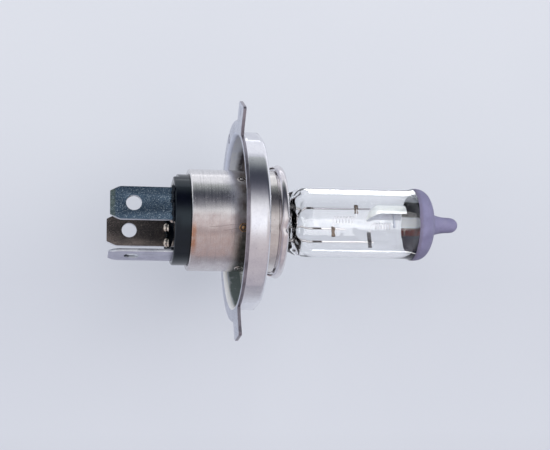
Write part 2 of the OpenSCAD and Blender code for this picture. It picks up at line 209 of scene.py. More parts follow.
def glass_material():
    """Clear quartz that lets lamps shine through, with faint drawn streaks."""
    m = Material("quartz_glass", (0.992, 0.998, 1.0), roughness=0.0, ior=1.458, transmission_weight=1.0)
    m.bump(m.noise(scale=(60, 700, 700), detail=2), 0.05, 0.00005)
    m.bump(m.noise(size=300, detail=1), 0.04, 0.0001)
    m.rough(m.cloud([(0.45, 0.0), (0.85, 0.05)], size=500, detail=4))
    clear = m.node("BsdfTransparent")
    clear.inputs["Color"].default_value = (0.93, 0.95, 0.96, 1)
    path, mix = m.node("LightPath"), m.node("MixShader")
    for k, source in enumerate((path.outputs["Is Shadow Ray"], m.p.outputs[0], clear.outputs[0])):
        m.link(source, mix.inputs[k])
    m.link(mix.outputs[0], m.t.nodes["Material Output"].inputs["Surface"])
    return m.m


def paint_material():
    """Matte blue-violet heat paint, finely grained, thinner and browner at its edge."""
    m = Material("cap_paint", (0.17, 0.165, 0.28), roughness=0.62, specular_ior_level=0.35)
    c = m.cloud([(0.3, (0.135, 0.13, 0.225)), (0.6, (0.19, 0.185, 0.30)), (0.8, (0.22, 0.215, 0.32))],
                size=230, detail=5, rough=0.6)
    edge = m.times(m.band(0, 43.1, 43.9, 0.7), m.noise(size=900, detail=3))
    c = m.mix(m.times(edge, 0.9, clamp=True), c, (0.10, 0.085, 0.11))
    grain = m.noise(size=5200, detail=3)
    m.color(m.mix(m.ramp(grain, [(0.35, 0.25), (0.55, 0.0)]), c, (0.07, 0.07, 0.11)))
    m.rough(m.ramp(grain, [(0.3, 0.7), (0.7, 0.5)]))
    m.bump(grain, 0.25, 0.00006)
    m.bump(m.noise(size=700, detail=3), 0.12, 0.0002)
    return m.m


def paint_back_material():
    """The paint's inner side, seen through the glass: slate, with a heat-reddened band, a near-black band and two pale
    bands of painted reflection.
    """
    m = Material("cap_paint_inside", (0.05, 0.05, 0.08), roughness=0.45, specular_ior_level=0.0)
    c = m.cloud([(0.3, (0.028, 0.028, 0.05)), (0.7, (0.055, 0.055, 0.09))], size=300, detail=4)
    red = m.times(m.band(1, -2.9, -1.3, 0.6), m.cloud([(0.3, 0.55), (0.6, 1.0)], scale=(1, 5, 1), size=400, detail=3))
    c = m.mix(red, c, (0.16, 0.012, 0.008))
    # painted reflections: pale bands at y = -0.8 to 1.9 mm and 6.9 to 9.0 mm; a near-black band at y = 2.4 to 6.5 mm
    for lo, hi, tint in ((2.4, 6.5, (0.003, 0.003, 0.008)), (-0.8, 1.9, (0.90, 0.94, 1.0)), (6.9, 9.0, (0.66, 0.71, 0.78))):
        c = m.mix(m.band(1, lo, hi, 0.4), c, tint)
    m.color(c)
    m.bump(m.noise(size=900, detail=3), 0.2, 0.0001)
    return m.m


def plastic_material():
    """Black moulded plastic with a satin skin and pale dust specks."""
    m = Material("insulator_plastic", (0.002, 0.0025, 0.006), roughness=0.16, specular_ior_level=0.5,
                 specular_tint=(0.72, 0.90, 1.0, 1))
    dust = m.cloud([(0.68, 0.0), (0.76, 1.0)], size=3800, detail=2)
    c = m.cloud([(0.35, (0.0006, 0.0008, 0.0025)), (0.7, (0.0015, 0.0018, 0.005))], size=400, detail=4)
    m.color(m.mix(m.times(dust, 0.06), c, (0.2, 0.22, 0.28)))
    m.rough(m.cloud([(0.3, 0.07), (0.7, 0.16)], size=900, detail=4))
    m.bump(m.noise(size=2400, detail=3), 0.06, 0.00004)
    return m.m


def blade_material(name, color, dark, speck, rough=0.42, spots=0.5, end=None, shade=None):
    """Tin-plated blade stock: dull, rolled lengthwise, peppered with dark and pale specks."""
    m = Material(name, color, metallic=0.85, roughness=rough)
    c = m.cloud([(0.3, dark), (0.65, color)], size=330, detail=6, rough=0.65)
    rolled = m.noise(scale=(240, 3800, 3800), detail=4, rough=0.6)
    c = m.mix(m.ramp(rolled, [(0.3, 0.35), (0.7, 0.0)]), c, dark)
    # painted shade: the blade darker towards its top, above y = -3 mm
    if shade:
        c = m.mix(m.times(m.band(1, -3.0, 6.0, 2.2), 0.8), c, shade)
    if end:
        c = m.mix(m.times(m.band(0, -31.0, -29.9, 0.5), m.cloud([(0.3, 0.4), (0.7, 1.0)], size=700, detail=4)), c, end)
    pale = m.cloud([(0.54, 0.0), (0.64, 1.0)], size=4200, detail=3, rough=0.7)
    c = m.mix(m.times(pale, spots), c, speck)
    black = m.cloud([(0.60, 0.0), (0.68, 1.0)], size=2100, detail=3, rough=0.7, offset=(7, 3, 1))
    m.color(m.mix(m.times(black, spots), c, tuple(v * 0.35 for v in dark)))
    m.rough(m.ramp(rolled, [(0.3, rough * 0.8), (0.7, rough * 1.25)]))
    m.bump(rolled, 0.18, 0.00004)
    m.bump(m.noise(size=1800, detail=4), 0.2, 0.00005)
    return m.m


def floor_material():
    """Pale lavender card with a faint fibre grain and a painted glow of its own, dimmer towards -y and brighter towards
    +y, so that shadows stay soft.
    """
    m = Material("floor_card", (0.17, 0.17, 0.18), roughness=0.8)
    fibre = m.noise(size=900, detail=4, rough=0.7)
    c = m.cloud([(0.3, (0.155, 0.158, 0.166)), (0.7, (0.172, 0.174, 0.180))], size=9, detail=3)
    m.color(m.mix(m.ramp(fibre, [(0.35, 0.06), (0.65, 0.0)]), c, (0.12, 0.12, 0.14)))
    m.bump(fibre, 0.05, 0.0001)
    y = m.math("ADD", m.times(m.axis_value(1), 2.5), 0.5, clamp=True)
    m.link(m.ramp(y, FLOOR_GLOW), m.p.inputs["Emission Color"])
    m.p.inputs["Emission Strength"].default_value = 1.0
    return m.m


# ---- mesh tools
def clean(me, weld=0.0):
    """Joins points closer than weld, and turns the faces outwards."""
    bm = bmesh.new()
    bm.from_mesh(me)
    if weld:
        bmesh.ops.remove_doubles(bm, verts=bm.verts, dist=weld)
    bmesh.ops.recalc_face_normals(bm, faces=bm.faces)
    bm.to_mesh(me)
    bm.free()


def shade(me, sharp):
    me.shade_smooth()
    me.set_sharp_from_angle(angle=math.radians(sharp))


def add_object(name, data):
    o = bpy.data.objects.new(name, data)
    bpy.context.scene.collection.objects.link(o)
    return o


def add_mesh(name, verts, faces):
    me = bpy.data.meshes.new(name)
    me.from_pydata([tuple(v) for v in verts], [], faces)
    clean(me)
    return add_object(name, me)


def evaluated_mesh(o):
    bpy.context.view_layer.update()
    return bpy.data.meshes.new_from_object(o.evaluated_get(bpy.context.evaluated_depsgraph_get()))


def make(name, verts, faces, mats, slot, replaced, sharp=35, tones=()):
    """A mesh piece that rides on the body and stands for CAD nodes. tones gives each face's material."""
    o = add_mesh(name, verts, faces)
    for m in mats if isinstance(mats, (list, tuple)) else [mats]:
        o.data.materials.append(m)
    shade(o.data, sharp)
    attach(o, "root")
    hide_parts(*replaced)
    for p, k in zip(o.data.polygons, tones):
        p.material_index = k
    return o


def net(rows, cols, close_rows=False, close_cols=True, caps=False):
    """Faces over rows of points. Each row joins the next and, where closed, the last joins the first."""
    faces = []
    for i in range(rows if close_rows else rows - 1):
        j = (i + 1) % rows
        for k in range(cols if close_cols else cols - 1):
            k2 = (k + 1) % cols
            faces.append((i * cols + k, i * cols + k2, j * cols + k2, j * cols + k))
    if caps:
        faces.append(tuple(range(cols - 1, -1, -1)))
        faces.append(tuple((rows - 1) * cols + k for k in range(cols)))
    return faces


def rounded(outline, radius, steps=5):
    """Rounds each corner of a closed flat outline. An outline point may carry its own radius as a third value."""
    out, n = [], len(outline)
    for i, p in enumerate(outline):
        r = p[2] if len(p) > 2 else radius
        p2 = Vector(p[:2])
        a = Vector(outline[i - 1][:2]) - p2
        b = Vector(outline[(i + 1) % n][:2]) - p2
        if r <= 0 or a.length == 0 or b.length == 0:
            out.append(p2)
            continue
        r = min(r, a.length * 0.49, b.length * 0.49)
        for k in range(steps + 1):
            t = k / steps
            q = p2 + a.normalized() * r * (1 - t) ** 2 + b.normalized() * r * t**2
            out.append(q)
    return out


def lathe(name, outline, mats, slot, replaced, n=256, wobble=None, sharp=35, closed=True, tones=()):
    """Turns an outline of (radius, x) in millimetres about the lamp axis. tones gives each step's material."""
    pts, verts = [Vector(p) for p in outline], []
    for j in range(n):
        a = math.tau * j / n
        for r, x in pts:
            if wobble:
                r, x = wobble(r, x, a)
            verts.append(Vector((x, r * math.cos(a), r * math.sin(a))) * MM)
    return make(name, verts, net(n, len(pts), True, closed), mats, slot, replaced, sharp, tones * n)


def smooth_path(points, steps=8):
    """Points on a Catmull-Rom curve through the given ones."""
    p = [Vector(q) for q in points]
    p = [2 * p[0] - p[1], *p, 2 * p[-1] - p[-2]]
    out = []
    for i in range(1, len(p) - 2):
        before, a, b, after = p[i - 1:i + 3]
        for k in range(steps):
            t = k / steps
            square = 2 * before - 5 * a + 4 * b - after
            cube = 3 * a - before - 3 * b + after
            out.append(0.5 * (2 * a + (b - before) * t + square * t**2 + cube * t**3))
    out.append(p[-2])
    return out


def tube_rings(path, radius, sides=14, round_ends=True):
    """Vertices and faces of a round tube along a path in millimetres; radius may be a function of 0..1."""
    rad = radius if callable(radius) else (lambda t: radius)
    pts = [Vector(p) for p in path]
    rs = [rad(i / (len(pts) - 1)) for i in range(len(pts))]
    if round_ends:
        d0, d1 = (pts[0] - pts[1]).normalized(), (pts[-1] - pts[-2]).normalized()
        cap = ((0.95, 0.3), (0.7, 0.7), (0.35, 0.93))
        head = [(pts[0] + d0 * rs[0] * s, rs[0] * c) for s, c in cap]
        tail = [(pts[-1] + d1 * rs[-1] * s, rs[-1] * c) for s, c in reversed(cap)]
        pts = [p for p, _ in head] + pts + [p for p, _ in tail]
        rs = [r for _, r in head] + rs + [r for _, r in tail]
    n, verts, side = len(pts), [], None
    for i, p in enumerate(pts):
        d = (pts[min(i + 1, n - 1)] - pts[max(i - 1, 0)]).normalized()
        if side is None:
            side = d.orthogonal().normalized()
        side = (side - d * side.dot(d)).normalized()
        up = d.cross(side)
        for k in range(sides):
            a = math.tau * k / sides
            verts.append((p + (side * math.cos(a) + up * math.sin(a)) * rs[i]) * MM)
    return verts, net(n, sides, caps=True)


def tube(name, path, radius, mats, slot, replaced, sides=14):
    v, f = tube_rings(path, radius, sides)
    return make(name, v, f, mats, slot, replaced, sharp=60)


def join_parts(parts):
    """One vertex and face list out of several."""
    verts, faces = [], []
    for v, f in parts:
        b = len(verts)
        verts += list(v)
        faces += [tuple(i + b for i in q) for q in f]
    return verts, faces


def at(x, u, w):
    """A point in millimetres given along the lamp axis and the blades' directions."""
    return AXIS * x + U * u + W * w


def outward(deg):
    """The direction away from the axis at an angle from -Z towards +Y, as the lugs are counted."""
    t = math.radians(deg)
    return Vector((0, math.sin(t), -math.cos(t)))


def arc(cx, cy, r, a, b, n):
    """Points on a flat arc from a to b degrees."""
    turns = [math.radians(a + (b - a) * k / n) for k in range(n + 1)]
    return [(cx + r * math.cos(t), cy + r * math.sin(t)) for t in turns]


def plate(outline, holes, thick, bevel, place, shape=lambda a, b, c: (a, b, c), cuts=()):
    """A flat sheet piece with rounded edges: its vertices, its faces, and which faces are on its edges.

    outline and holes are lists of (a, b) in millimetres. shape may move (a, b, c), with c through the thickness, place
    turns it into a point, and cuts are values of a where the sheet gets extra edges."""
    cu = bpy.data.curves.new("plate", "CURVE")
    cu.dimensions, cu.fill_mode = "2D", "BOTH"
    cu.extrude, cu.bevel_depth, cu.bevel_resolution, cu.offset = thick / 2 - bevel, bevel, 2, -bevel
    for loop in [outline, *holes]:
        s = cu.splines.new("POLY")
        s.points.add(len(loop) - 1)
        for q, p in zip(s.points, loop):
            q.co = (p[0], p[1], 0, 1)
        s.use_cyclic_u = True
    o = add_object("plate", cu)
    me = evaluated_mesh(o)
    bpy.data.objects.remove(o)
    bm = bmesh.new()
    bm.from_mesh(me)
    bmesh.ops.remove_doubles(bm, verts=bm.verts, dist=1e-4)
    for a in cuts:
        bmesh.ops.bisect_plane(bm, geom=bm.verts[:] + bm.edges[:] + bm.faces[:], plane_co=(a, 0, 0), plane_no=(1, 0, 0))
    bm.normal_update()
    bm.verts.index_update()
    verts = [place(*shape(*v.co)) * MM for v in bm.verts]
    faces = [tuple(v.index for v in f.verts) for f in bm.faces]
    edges = [int(abs(f.normal.z) < 0.75) for f in bm.faces]
    bm.free()
    return verts, faces, edges


def smoothstep(a, b, x):
    t = min(max((x - a) / (b - a), 0.0), 1.0)
    return t * t * (3 - 2 * t)


# ---- materials used
LOWER = (1, -30.0, -9.0, 4.0)  # the part of the cup below y = -9
NICKEL = metal("nickel_ring", (0.82, 0.82, 0.85), (0.72, 0.72, 0.77), 0.12, dent=0.05)
# painted light: a pale, non-metal copy of the nickel for the inside of the cup's wall, with green-grey painted shade
# low in the cup from x = 0.9 mm and near-black painted shade from x = 3 mm between y = 8 and 16.5 mm
CUP_WALL = metal("nickel_cup_wall_painted_light", (0.92, 0.96, 1.0), (0.84, 0.89, 0.99), 0.5, grain=0.15, dent=0.1, metallic=0.0,
                 painted_light_and_stain=[(LOWER, (0, 0.9, 6.0, 0.8), (0.15, 0.19, 0.185), 1.2),
                        ((1, 8.0, 16.5, 2.5), (0, 3.0, 6.0, 1.5), (0.07, 0.06, 0.07), 1.2)])
# painted shade: a dark copy of the nickel for the web and the neck inside the cup, with a paler painted highlight below
# y = -9 mm
CUP_INSIDE_SHADED = metal("nickel_cup_inside_painted_shade", (0.24, 0.21, 0.21), (0.12, 0.11, 0.11), 0.3, grain=0.4, dent=0.1, metallic=0.7,
                   painted_light_and_stain=[(LOWER, (0.55, 0.58, 0.56), 1.2)])
# painted light: a bluish, mostly non-metal copy of the nickel for the bend between lip and wall, painted near-white
# below y = -9 mm as a highlight
FILLET = metal("nickel_fillet_painted_light", (0.74, 0.78, 0.90), (0.64, 0.68, 0.80), 0.4, grain=0.2, metallic=0.25,
               painted_light_and_stain=[(LOWER, (0.99, 1.0, 0.97), 1.5)])
# painted shade: a darker copy of the nickel for the lip's back face
LIP_BACK_SHADED = metal("nickel_lip_back_painted_shade", (0.62, 0.64, 0.72), (0.50, 0.52, 0.60), 0.28, grain=0.5, dent=0.15)
SHEARED = metal("sheared_edge", (0.36, 0.34, 0.38), (0.16, 0.15, 0.18), 0.35, grain=0.6, dent=0.3)
# painted shade and painted reflections: pinker between y = -8 and -0.4 mm, darker between y = -14 and -8.5 mm and
# between -2.6 and 1.2 mm, and a brown painted shade by the ring from x = -0.1 to 4 mm; the heat tint and the two
# scratches are the barrel's own marks
BARREL = metal("nickel_barrel", (0.82, 0.80, 0.79), (0.74, 0.72, 0.72), 0.2, brush=0.36, dent=0.04, streak=True,
               painted_light_and_stain=[((1, -14.0, -8.5, 3.0), (0.42, 0.36, 0.38), 0.45), ((1, -8.0, -0.4, 1.6), (0.66, 0.55, 0.51), 0.9),
                      ((1, -2.6, 1.2, 1.2), (0.50, 0.43, 0.42), 0.8), ((0, -0.1, 4.0, 2.6), (0.25, 0.21, 0.18), 0.8)],
               scratch=[(-0.2, 0.11, -7.5, -0.5), (-1.1, 0.16, -4.0, 0.3)], heat=(-11.95, -11.3, -2.5))
COLLAR = metal("nickel_collar", (0.80, 0.77, 0.73), (0.64, 0.61, 0.60), 0.2, brush=0.15, dent=0.08,
               painted_light_and_stain=[((1, -1.0, 6.0, 1.6), (0.52, 0.48, 0.46), 0.7)])
RETAINER = metal("nickel_retainer", (0.84, 0.81, 0.82), (0.68, 0.65, 0.67), 0.14, brush=0.05, dent=0.08)
WELD = metal("weld_nugget", (0.44, 0.27, 0.13), (0.22, 0.12, 0.06), 0.32, grain=0.7, dent=0.3)
WELD_CLEAN = metal("weld_nugget_clean", (0.78, 0.75, 0.70), (0.5, 0.46, 0.42), 0.25, grain=0.5, dent=0.3)
WELD_RING = metal("weld_ring", (0.045, 0.032, 0.026), (0.02, 0.015, 0.013), 0.5, grain=0.7, dent=0.3, metallic=0.6)
PLASTIC = plastic_material()
# painted reflections: the three blades are one stock, given three base colours for the reflections each shows, dark
# steel-blue on the near one, brown on the far one and pale lavender on the cross one
BLADE_NEAR = blade_material("blade_near", (0.072, 0.118, 0.175), (0.042, 0.072, 0.112), (0.42, 0.52, 0.58), 0.34, 0.8,
                            end=(0.13, 0.17, 0.14))
BLADE_FAR = blade_material("blade_far", (0.25, 0.21, 0.19), (0.055, 0.052, 0.055), (0.46, 0.40, 0.35), 0.38, 0.5,
                           shade=(0.05, 0.045, 0.045))
BLADE_CROSS = blade_material("blade_cross", (0.50, 0.50, 0.60), (0.34, 0.34, 0.43), (0.62, 0.62, 0.68), 0.36, 0.35)
BLADE_EDGE = metal("blade_edge", (0.74, 0.76, 0.80), (0.5, 0.52, 0.58), 0.3, grain=0.6, dent=0.2)
STAKE = metal("stake_metal", (0.80, 0.73, 0.64), (0.52, 0.45, 0.38), 0.26, grain=0.4, dent=0.3)
GLASS = glass_material()
PAINT = paint_material()
PAINT_BACK = paint_back_material()
FOIL = metal("foil_metal", (0.5, 0.5, 0.52), (0.36, 0.36, 0.38), 0.3)
LEAD = metal("lead_metal", (0.66, 0.62, 0.55), (0.46, 0.42, 0.36), 0.3)
SUPPORT = metal("support_metal", (0.90, 0.89, 0.90), (0.76, 0.74, 0.76), 0.42, grain=0.3,
                painted_light_and_stain=[((0, 12.0, 20.4, 0.5), (0.45, 0.44, 0.45), 1.6), ((0, 19.1, 20.4, 0.6), (0.04, 0.035, 0.035), 2.4),
                       ((1, 2.4, 5.0, 0.4), (0, 20.0, 36.0, 1.0), (0.34, 0.34, 0.37), 1.2)])
CLAMP = metal("clamp_metal", (0.12, 0.088, 0.066), (0.045, 0.034, 0.028), 0.4, grain=0.5, dent=0.2, metallic=0.8)
CLAMP_DARK = metal("clamp_dark", (0.055, 0.055, 0.062), (0.022, 0.022, 0.026), 0.45, grain=0.5, dent=0.2, metallic=0.8)
STRAP = metal("strap_metal", (0.42, 0.45, 0.56), (0.30, 0.33, 0.42), 0.5, grain=0.3)
# painted reflection: the cup's inner side is a duller, lavender-grey copy of the shield metal, standing for the pale
# backdrop it mirrors
SHIELD_INSIDE = metal("shield_inside_painted_reflection", (0.56, 0.59, 0.68), (0.46, 0.49, 0.58), 0.6, grain=0.2, metallic=0.5)
SHIELD = metal("shield_metal", (0.90, 0.92, 0.91), (0.76, 0.79, 0.79), 0.36, grain=0.15, dent=0.08, metallic=0.7)
TUNGSTEN = metal("filament_tungsten", (0.92, 0.92, 0.95), (0.74, 0.73, 0.80), 0.5, grain=0.2)


# ---- sizes shared with the frame, in millimetres
RING_R, SHEET, CUP_H = 21.5, 0.8, 5.0
LIP_R, LIP_NEAR_R, LUG_R, LUG_HALF = 24.3, 22.4, 28.9, 3.65
LUG_ANGLES = (0.0, 107.0, -107.0)
BARREL_R, BARREL_BACK = 12.25, 12.0
COLLAR_R, RETAINER_R = 12.4, 13.8
INSULATOR_R, INSULATOR_BACK = 10.95, 15.8
BLADE_W, BLADE_T, BLADE_SIDE, BLADE_TOP, NEAR_MID, FAR_MID = 8.0, 0.8, 9.2, 8.8, -1.0, 0.2
BLADE_TIP, BLADE_HOLE_X, BLADE_HOLE_R = -30.8, -25.3, 1.8
TUBE_R, TUBE_IN, PINCH_U, PINCH_W = 8.45, 7.35, 7.0, 2.2
U_COMMON, U_HIGH, U_LOW = -3.76, 1.46, 4.7
WIRE_R = 0.26


# ---- locating ring
def lug_offset(deg):
    """The angle to the nearest lug's middle, in degrees."""
    return min(((deg - c + 180) % 360 - 180 for c in LUG_ANGLES), key=abs)


def lip_radius(deg):
    """How far the sheet reaches at this angle: lip, or a lug with round corners."""
    d = math.radians(lug_offset(deg))
    side = smoothstep(104, 110, abs((deg + 180) % 360 - 180))
    base = LIP_R + (LIP_NEAR_R - LIP_R) * side
    if abs(d) > math.radians(10.5):
        return base
    corner, lo, hi = 0.8, 21.8, 30.0
    for _ in range(26):
        r = (lo + hi) / 2
        a, b = r * math.cos(d), r * abs(math.sin(d))
        inside = b <= LUG_HALF and a <= LUG_R
        if inside and a > LUG_R - corner and b > LUG_HALF - corner:
            inside = (a - LUG_R + corner) ** 2 + (b - LUG_HALF + corner) ** 2 <= corner**2
        lo, hi = (r, hi) if inside else (lo, r)
    return max(base, lo)


def sheet_lift(y, z):
    """How far the lip's sheet is pressed towards the glass side: the lugs' slight bend and their pips."""
    r = math.hypot(y, z)
    deg = math.degrees(math.atan2(y, -z))
    d = math.radians(lug_offset(deg))
    a, b = r * math.cos(d), r * math.sin(d)
    if a < 22 or abs(b) > LUG_HALF + 0.2 or abs(math.degrees(d)) > 12:
        return 0.0
    lift = max(a - 24.0, 0) * math.tan(math.radians(2.6))
    q = math.hypot(a - 27.1, b)
    return lift + 0.42 * (1 - smoothstep(0.25, 1.05, q))


def wall_limit(deg, x):
    """The cup wall's largest radius at this angle: flats with a slanted front under the lugs."""
    d = math.radians(lug_offset(deg))
    if abs(d) > math.radians(12) or x < 0.7:
        return 1e9
    flat = 21.14 - max(x - 3.7, 0) * 0.55
    ease = 1 - smoothstep(0.7, 1.0, x)
    return (flat + ease) / math.cos(d)


def build_flange():
    angles = {float(k) for k in range(360)}
    for c in LUG_ANGLES:
        angles |= {round((c + k * 0.25) % 360, 3) for k in range(-44, 45)}
        angles |= {round((c + s * (6.9 + k * 0.1)) % 360, 3) for k in range(34) for s in (-1, 1)}
    angles = sorted(angles)
    i, b, n = 0.2, 1.0, len(angles)  # the sheet's inner and outer bend radius, and the columns
    front = arc(RING_R + i, i, i, 270, 180, 3)
    front += [(RING_R, x) for x in (0.45, 0.7, 0.8, 0.9, 1.0, 1.5, 2.0, 2.5, 3.0, 3.4, 3.7)]
    front += arc(RING_R - b, CUP_H - b, b, 0, 90, 8) + [(r, CUP_H) for r in (20.0, 19.0, 17.0, 15.6)]
    front += [(r, CUP_H - 0.02) for r in (15.2, 14.0, 12.6)] + arc(11.9, CUP_H - b, b, 90, 180, 5)
    front += [(10.9, 1.0), (10.9, -3.0)]
    back = [(11.48, -3.0), (11.48, 1.0)] + arc(11.9, 4.0, 0.4, 180, 90, 3) + [(r, 4.2) for r in (12.4, 14.0, 17.0, 19.0)]
    back += arc(20.3, 3.8, 0.4, 90, 0, 4) + [(20.7, x) for x in (3.4, 3.0, 2.5, 2.0, 1.5, 1.0, 0.8, 0.6, 0.4)]
    back += arc(RING_R + i, i, b, 180, 270, 7)
    contour = [outward(deg).yz * lip_radius(deg) for deg in angles]
    verts, rim, root = [], 0.16, RING_R + i
    for j, deg in enumerate(angles):
        ray, end = outward(deg).yz, contour[j]
        tangent = (contour[(j + 1) % n] - contour[j - 1]).normalized()
        inward = Vector((-tangent.y, tangent.x))
        if inward.dot(ray) > 0:
            inward = -inward
        inset = end + inward * rim
        if inset.length < root:
            inset = ray * (root + 0.05)
        lip = [(ray * root).lerp(inset, k / 16) for k in range(1, 17)]
        rows = [(p, 0.0) for p in reversed(lip)]
        rows += [(ray * min(r, wall_limit(deg, x)), x) for r, x in front]
        for r, x in back:
            if 0.7 <= x and r > 20.2:
                r = min(r, wall_limit(deg, x) - SHEET + 0.05)
            rows.append((ray * r, x))
        rows += [(p, -SHEET) for p in lip]
        for level, turns in ((rim - SHEET, (-60, -30, 0)), (-rim, (0, 30, 60))):
            for t in turns:
                t = math.radians(t)
                rows.append((end + inward * rim * (1 - math.cos(t)), level + rim * math.sin(t)))
        for p, x in rows:
            lift = sheet_lift(p.x, p.y) if p.length > 21.9 else 0.0
            wave = 0.03 * noise.noise(Vector((p.x * 0.11, p.y * 0.11, 3.0)))
            verts.append(Vector((x + lift + wave, p.x, p.y)) * MM)
    # which of the materials each row of faces takes
    ring, first = len(rows), len(lip) + len(front)
    after, tones = first + len(back), []
    for k, (p, x) in enumerate(rows):
        if first <= k < after:
            tones.append(2 if x > 3.7 or p.length < 13 else 1 if x > 0.3 else 5 if x > -0.72 else 3)
        else:
            tones.append(0 if k < first else 3 if k < ring - 6 else 4)
    o = make("locating_ring", verts, net(n, ring, True), [NICKEL, CUP_WALL, CUP_INSIDE_SHADED, LIP_BACK_SHADED, SHEARED, FILLET],
             "ring_steel", ["flange_ring"], 40, tones * n)
    hole = outward(64) * 22.8 - AXIS * 0.4
    cut_with(o, [tube_rings([hole - AXIS * 1.5, hole + AXIS * 1.5], 1.2, 64, round_ends=False)])


def cutter_block(lo, hi, place):
    """A closed block used only to cut a recess; place turns its (x, u, w) corners into points."""
    c = [place(x, u, w) * MM for x in (lo[0], hi[0]) for u in (lo[1], hi[1]) for w in (lo[2], hi[2])]
    return c, [(0, 1, 3, 2), (4, 6, 7, 5), (0, 4, 5, 1), (2, 3, 7, 6), (0, 2, 6, 4), (1, 5, 7, 3)]


def cut_with(o, cutters):
    """Takes closed shapes away from a piece and keeps its shading clean."""
    c = add_mesh("cutter", *join_parts(cutters))
    mod = o.modifiers.new("cut", "BOOLEAN")
    mod.operation, mod.solver, mod.object = "DIFFERENCE", "EXACT", c
    done = evaluated_mesh(o)
    o.modifiers.remove(mod)
    o.data = done
    bpy.data.objects.remove(c)
    shade(o.data, 40)


# ---- turned metal parts
def dented(amount, size, seed, also=None):
    """A wobble for lathe(): small dents in radius."""
    def f(r, x, a):
        n = noise.noise(Vector((x * size, math.cos(a) * 12 * size, math.sin(a) * 12 * size + seed)))
        r += amount * n
        return also(r, x, a) if also else (r, x)
    return f


def build_barrel():
    rim = 0.42
    out = [(BARREL_R, x) for x in (3.8, 1.0, -2.0, -5.0, -8.0, -10.9, -11.1)]
    out += arc(BARREL_R - rim - 0.02, -BARREL_BACK + rim, rim + 0.04, 0, -90, 7)
    out += [(r, x - BARREL_BACK) for r, x in ((11.45, 0), (11.17, 0.06), (11.03, 0.2), (11.03, 0.42), (11.2, 0.5),
                                              (11.5, 0.55), (11.75, 0.8), (11.75, 7.0), (11.75, 15.8))]
    lathe("base_barrel", out, BARREL, "barrel_steel", ["base_barrel"], wobble=dented(0.035, 0.35, 1.0))
    # each spot weld: a nugget, the dark dip round it and a low swell, as (radius, height)
    rings = [(0.0, 0.2), (0.28, 0.2), (0.45, 0.14), (0.56, 0.0), (0.68, 0.0), (0.84, 0.12), (0.98, 0.1), (1.12, -0.12)]
    parts, tones, m, last = [], [], 24, len(rings) - 1
    for k in range(6):
        out_dir = outward(187 + 60 * k)
        side, verts = AXIS.cross(out_dir), []
        for r, h in rings:
            for q in range(m):
                t = math.tau * q / m
                j = 1 + 0.08 * noise.noise(Vector((math.cos(t) * 2, math.sin(t) * 2, k * 3.0)))
                c, s = r * math.cos(t) * j, r * math.sin(t) * j
                drop = BARREL_R - math.sqrt(BARREL_R**2 - s * s)
                verts.append((AXIS * (0.05 + c) + out_dir * (BARREL_R + h - drop) + side * s) * MM)
        parts.append((verts, net(last + 1, m) + [tuple(range(last * m, (last + 1) * m))]))
        nugget = 1 if k in (0, 4) else 0
        tones += [2 if 1 < i < 5 else nugget for i in range(last) for _ in range(m)] + [2]
    make("barrel_weld_nuggets", *join_parts(parts), [WELD_CLEAN, WELD, WELD_RING], "weld_steel", ["barrel_weld_spots"],
         70, tones)


def build_collar():
    out = [(13.7, 5.0), (13.7, 5.18)] + arc(13.3, 6.15, 0.9, 270, 180, 5) + [(COLLAR_R, x) for x in (6.6, 7.4, 8.2)]
    out += arc(COLLAR_R - 0.2, 8.38, 0.2, 0, 90, 3) + [(11.95, 8.58), (11.8, 8.45), (11.8, 5.0)]
    lathe("focus_collar", rounded(out, 0.03, 2), COLLAR, "collar_steel", ["flange_collar"], wobble=dented(0.07, 0.42, 5.0))
    r = 1.02  # the retainer's rolled edge
    prof = [(11.7, 5.4), (11.7, 8.85), (12.5, 8.78), (13.1, 8.70)] + arc(RETAINER_R - r, 8.66 + r, r, -70, 90, 12)
    prof += [(12.4, 10.69), (12.0, 10.60), (11.6, 10.42), (10.8, 10.40), (10.2, 10.46), (9.6, 10.64), (9.2, 10.62),
             (8.95, 10.45), (8.85, 10.15), (8.9, 9.85), (9.2, 9.95), (9.7, 10.0), (10.8, 9.85), (11.8, 9.9), (12.4, 10.1)]
    prof += arc(RETAINER_R - r, 8.66 + r, r - 0.45, 80, -60, 8) + [(11.6, 9.4), (11.2, 9.3), (11.1, 8.8), (11.1, 5.4)]

    def nick(rr, x, a):
        """One shallow knock in the rim, and gentle flats where it was crimped."""
        t = math.atan2(math.sin(a - math.radians(96)), math.cos(a - math.radians(96)))
        k = (math.exp(-((t / 0.075) ** 2)) - 0.45 * math.exp(-(((t - 0.13) / 0.06) ** 2))) * smoothstep(12.4, 13.5, rr)
        crimp = 0.05 * max(0.0, math.cos(3 * a)) ** 6
        return rr - 0.30 * k - crimp * smoothstep(12.9, 13.6, rr), x - 0.34 * max(k, 0.0)

    lathe("retainer_ring", prof, RETAINER, "retainer_steel", ["retainer_ring"], wobble=dented(0.05, 0.3, 9.0, nick))
    parts, m = [], 16
    for deg, size in ((85, 1.15), (-85, 1.3), (0, 1.0)):
        out_dir = outward(deg)
        side, verts = AXIS.cross(out_dir), []
        curve = smooth_path([AXIS * x + out_dir * q for x, q in ((7.3, 12.2), (7.7, 12.75), (8.3, 13.05), (8.75, 13.15))], 5)
        for i, p in enumerate(curve):
            wide = size * (0.75 + 0.35 * math.sin(math.pi * min(i / (len(curve) - 1) * 1.3, 1)))
            for q in range(m):
                c, s = math.cos(math.tau * q / m), math.sin(math.tau * q / m)
                across, up = math.copysign(abs(c) ** 0.6, c) * wide, math.copysign(abs(s) ** 0.7, s) * 0.34
                verts.append((p + side * across + out_dir * up * 0.9) * MM)
        parts.append((verts, net(len(curve), m, caps=True)))
    make("retainer_tabs", *join_parts(parts), RETAINER, "retainer_steel", ["retainer_tabs"], 60)


# ---- plug end
def near_place(a, b, c):
    return at(a, NEAR_MID + b, BLADE_SIDE + c)


